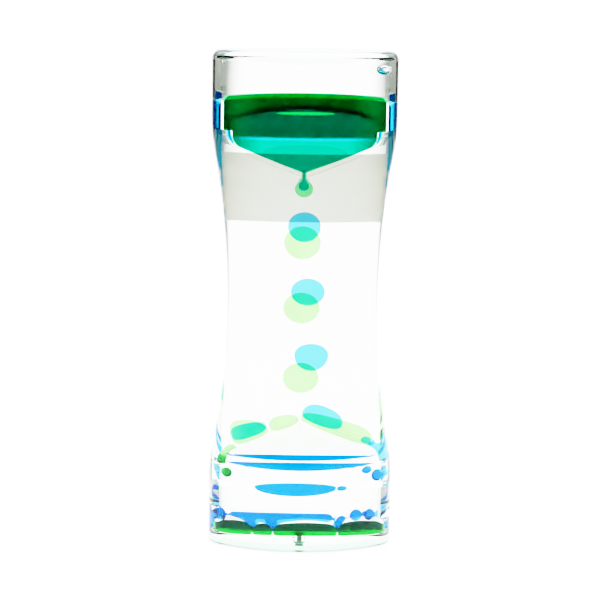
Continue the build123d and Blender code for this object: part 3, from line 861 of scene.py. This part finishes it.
crownDrop = dict(left=-10.8, right=8.8, top=16.8, ends=15.6, bottom=13.2, rim=0.12)
crownBead = dict(x=10.2, z=15.4, halfWide=1.2, halfTall=0.65, steps=32)
low, high = nodeMm("blue_crown_drop")
lensOutline = blobOutline(((crownDrop["left"] + crownDrop["right"]) / 2, crownDrop["ends"]),
                          (crownDrop["right"] - crownDrop["left"]) / 2,
                          crownDrop["top"] - crownDrop["ends"], crownDrop["ends"] - crownDrop["bottom"])
beadOutline = blobOutline((crownBead["x"], crownBead["z"]), crownBead["halfWide"], crownBead["halfTall"],
                          crownBead["halfTall"], steps=crownBead["steps"])
crownPiece = joinPieces([pressedForm(outline, low.y, high.y, crownDrop["rim"])
                         for outline in (lensOutline, beadOutline)])
shadeByAngle(crownPiece, 50)
finishPiece(crownPiece, "blue_crown_lens", blueFilm, "case", ("blue_crown_drop",))
print("puddles and film made")


# pieces kept from the CAD

trays = ("lower_front_funnel", "lower_rear_funnel", "upper_front_funnel", "upper_rear_funnel")
for node in trays + ("divider_plate",):
    setMaterial(bpy.data.objects[node], trayAcrylic)
for node in plugs:
    setMaterial(bpy.data.objects[node], plugAcrylic)


# studio paper with painted light: it glows where it runs back behind the object, and painted shade makes it
# greyer at the sides and to the camera
# the lit part fans out from a point in front: full up to fanLit times the reach from there, none past fanDim

paper = dict(size=6000, dimY=-300, litY=-75, fanY=-400, leastReach=20, fanLit=0.35, fanDim=0.75,
             dim="#8C8C8A", lit="#F4F4F2", glow=1.4, grain=3)


def paintedLightPaper():
    material, tree, place = newMaterial("studio_paper_painted_light")
    parts = splitPlace(tree, place)
    front = mapRange(tree, parts["Y"], paper["dimY"] * mm, paper["litY"] * mm, kind="SMOOTHSTEP")
    aside = calculate(tree, "ABSOLUTE", parts["X"])
    back = calculate(tree, "ADD", parts["Y"], -paper["fanY"] * mm)
    reach = calculate(tree, "MAXIMUM", back, paper["leastReach"] * mm)
    fan = calculate(tree, "DIVIDE", aside, reach)
    middle = mapRange(tree, fan, paper["fanLit"], paper["fanDim"], 1.0, 0.0, kind="SMOOTHSTEP")
    lit = calculate(tree, "MULTIPLY", front, middle)
    return useShader(material, "ShaderNodeBsdfPrincipled", {
        "Base Color": mixColours(tree, lit, hexColour(paper["dim"]), hexColour(paper["lit"])),
        "Roughness": 0.9, "Specular IOR Level": 0.2, "Emission Color": hexColour("#FFFFFF"),
        "Emission Strength": calculate(tree, "MULTIPLY", lit, paper["glow"]),
        "Normal": rippledNormal(tree, place, paper["grain"], strength=0.02, height=0.1)})


deselectAll()
bpy.ops.mesh.primitive_plane_add(size=paper["size"] * mm)
floor = bpy.context.object
floor.name = "studio_floor"
floor.data.materials.append(paintedLightPaper())


# light tent: bright sheet behind and above, greyer sides that the clear edges pick up, dim behind the camera

white, grey, dim = hexColour("#FFFFFF"), hexColour("#989898"), hexColour("#808080")
tent = dict(bright=3.0, sheets=((0.08, dim), (0.25, grey), (0.74, grey), (0.93, white), (1.0, white)),
            roofFrom=0.45, roofFull=0.8)
world = bpy.data.worlds.new("studio_tent")
bpy.context.scene.world = world
world.use_nodes = True
sky = world.node_tree
sky.nodes.clear()
direction = splitPlace(sky, addNode(sky, "ShaderNodeTexCoord").outputs["Generated"])
sheetLight = colourRamp(sky, mapRange(sky, direction["Y"], -1.0, 1.0), tent["sheets"])
roofShare = mapRange(sky, direction["Z"], tent["roofFrom"], tent["roofFull"])
tentLight = addNode(sky, "ShaderNodeBackground", {
    "Color": mixColours(sky, roofShare, sheetLight, white), "Strength": tent["bright"]})
addNode(sky, "ShaderNodeOutputWorld", {"Surface": tentLight.outputs["Background"]})


# camera

view = dict(distance=620.0, height=172.0, aimX=-0.6, aimZ=69.6, turn=1.0, roll=0.8, lens=133.4, sensor=36,
            clipStart=10)
turn = math.radians(view["turn"])
eye = Vector((-view["distance"] * math.sin(turn), -view["distance"] * math.cos(turn), view["height"])) * mm
aim = Vector((view["aimX"], 0, view["aimZ"])) * mm
deselectAll()
bpy.ops.object.camera_add(location=eye)
camera = bpy.context.object
camera.rotation_euler = ((aim - eye).to_track_quat("-Z", "Y").to_matrix()
                         @ Matrix.Rotation(math.radians(view["roll"]), 3, "Z")).to_euler()
camera.data.lens = view["lens"]
camera.data.sensor_width = view["sensor"]
camera.data.clip_start = view["clipStart"] * mm
bpy.context.scene.camera = camera


# exposure: the tent is well over white, as in a bright product photo, with a soft shoulder

exposure = dict(black=0.03, white=tent["bright"], points=(
    (0.02, 0.004), (0.04, 0.05), (0.057, 0.13), (0.109, 0.32), (0.211, 0.61), (0.312, 0.79), (0.552, 0.92)))
look = bpy.context.scene.view_settings
look.view_transform = "Standard"
look.use_curve_mapping = True
tone = look.curve_mapping
tone.black_level = (exposure["black"],) * 3
tone.white_level = (exposure["white"],) * 3
allChannels = tone.curves[3]
for at, value in exposure["points"]:
    allChannels.points.new(at, value)
tone.update()

bounces = dict(all=40, clear=40, transparent=24)  # light crosses many clear walls
bpy.context.scene.cycles.max_bounces = bounces["all"]
bpy.context.scene.cycles.transmission_bounces = bounces["clear"]
bpy.context.scene.cycles.transparent_max_bounces = bounces["transparent"]
print("stage made")
